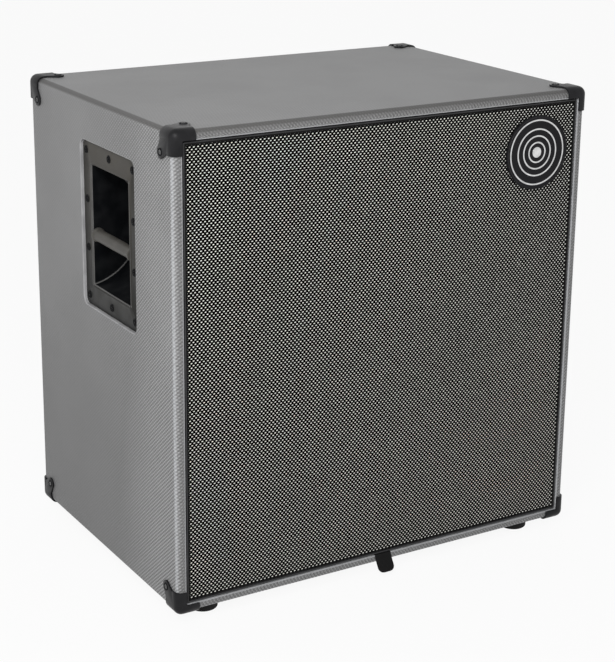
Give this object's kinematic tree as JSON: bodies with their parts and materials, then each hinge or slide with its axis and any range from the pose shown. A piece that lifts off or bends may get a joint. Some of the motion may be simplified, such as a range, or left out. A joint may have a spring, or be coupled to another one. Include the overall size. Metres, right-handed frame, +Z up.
{
  "type": "bass speaker cabinet",
  "caption": "Square vinyl-covered bass cabinet with a full-width cloth grille that pulls off, recessed bar handles, corner protectors, rubber feet and a rear input dish.",
  "frame": {"origin": "floor level under the middle of the footprint", "axes": "+Z up; the front and its grille face -Y; +X is to the right of someone facing the front"},
  "size_m": [0.605, 0.4293, 0.6245],
  "materials": {
    "vinyl": "grey textured vinyl, satin",
    "back_board": "board covered in grey textured vinyl",
    "plywood": "bare birch plywood",
    "black_wood": "matt black paint on wood",
    "black_plastic": "moulded, satin",
    "grip_plastic": "moulded, satin",
    "rubber": "moulded, matt",
    "basket_steel": "black enamel",
    "magnet": "ferrite and plated steel",
    "cone_paper": "black pressed paper",
    "surround_cloth": "coated cloth",
    "spider_cloth": "phenolic cloth",
    "grille_cloth": "black cloth with woven silver dots",
    "webbing": "black woven tape",
    "badge": "black, plain",
    "dish_steel": "black powder coat",
    "circuit_board": "green board with black parts",
    "batting": "white polyester wadding"
  },
  "bodies": {
    "cabinet": {"vinyl_covering": "vinyl", "top_panel": "plywood", "bottom_panel": "plywood", "left_side_panel": "plywood", "right_side_panel": "plywood", "baffle": "black_wood", "back_panel": "back_board", "window_brace": "plywood", "grille_cleat": "black_wood", "lining_pad": "batting", "corner_front_bottom_left": "black_plastic", "corner_front_bottom_right": "black_plastic", "corner_front_top_left": "black_plastic", "corner_front_top_right": "black_plastic", "corner_back_bottom_left": "black_plastic", "corner_back_bottom_right": "black_plastic", "corner_back_top_left": "black_plastic", "corner_back_top_right": "black_plastic", "foot_front_left": "rubber", "foot_front_right": "rubber", "foot_back_left": "rubber", "foot_back_right": "rubber", "left_handle_cup": "black_plastic", "left_handle_bar": "grip_plastic", "right_handle_cup": "black_plastic", "right_handle_bar": "grip_plastic", "basket_upper_left": "basket_steel", "basket_upper_right": "basket_steel", "basket_lower_left": "basket_steel", "basket_lower_right": "basket_steel", "motor_upper_left": "magnet", "motor_upper_right": "magnet", "motor_lower_left": "magnet", "motor_lower_right": "magnet", "surround_upper_left": "surround_cloth", "surround_upper_right": "surround_cloth", "surround_lower_left": "surround_cloth", "surround_lower_right": "surround_cloth", "spider_upper_left": "spider_cloth", "spider_upper_right": "spider_cloth", "spider_lower_left": "spider_cloth", "spider_lower_right": "spider_cloth", "horn": "black_plastic", "compression_driver": "magnet", "port_tube_left": "black_plastic", "port_tube_right": "black_plastic", "input_dish": "dish_steel", "speaker_socket_left": "black_plastic", "speaker_socket_right": "black_plastic", "level_control": "dish_steel", "crossover_board": "circuit_board"},
    "grille": {"grille_frame": "black_wood", "grille_cloth": "grille_cloth", "grille_badge": "badge", "grille_pull_tab": "webbing"},
    "upper_left_cone": {"cone_upper_left": "cone_paper"},
    "upper_right_cone": {"cone_upper_right": "cone_paper"},
    "lower_left_cone": {"cone_lower_left": "cone_paper"},
    "lower_right_cone": {"cone_lower_right": "cone_paper"},
    "knob": {"level_knob": "black_plastic"}
  },
  "joints": [
    {"name": "grille_pull", "type": "slide", "parent": "cabinet", "child": "grille", "axis": [0, -1, 0], "range_m": [0, 0.08]},
    {"name": "cone_stroke_upper_left", "type": "slide", "parent": "cabinet", "child": "upper_left_cone", "axis": [0, -1, 0], "range_m": [-0.004, 0.004], "stiffness_N_per_m": 3000, "deforming": ["surround_upper_left", "spider_upper_left"]},
    {"name": "cone_stroke_upper_right", "type": "slide", "parent": "cabinet", "child": "upper_right_cone", "axis": [0, -1, 0], "range_m": [-0.004, 0.004], "stiffness_N_per_m": 3000, "deforming": ["surround_upper_right", "spider_upper_right"]},
    {"name": "cone_stroke_lower_left", "type": "slide", "parent": "cabinet", "child": "lower_left_cone", "axis": [0, -1, 0], "range_m": [-0.004, 0.004], "stiffness_N_per_m": 3000, "deforming": ["surround_lower_left", "spider_lower_left"]},
    {"name": "cone_stroke_lower_right", "type": "slide", "parent": "cabinet", "child": "lower_right_cone", "axis": [0, -1, 0], "range_m": [-0.004, 0.004], "stiffness_N_per_m": 3000, "deforming": ["surround_lower_right", "spider_lower_right"]},
    {"name": "level_turn", "type": "hinge", "parent": "cabinet", "child": "knob", "pos_m": [0, 0.18245, 0.218], "axis": [0, 1, 0], "range_deg": [-150, 150]}
  ]
}
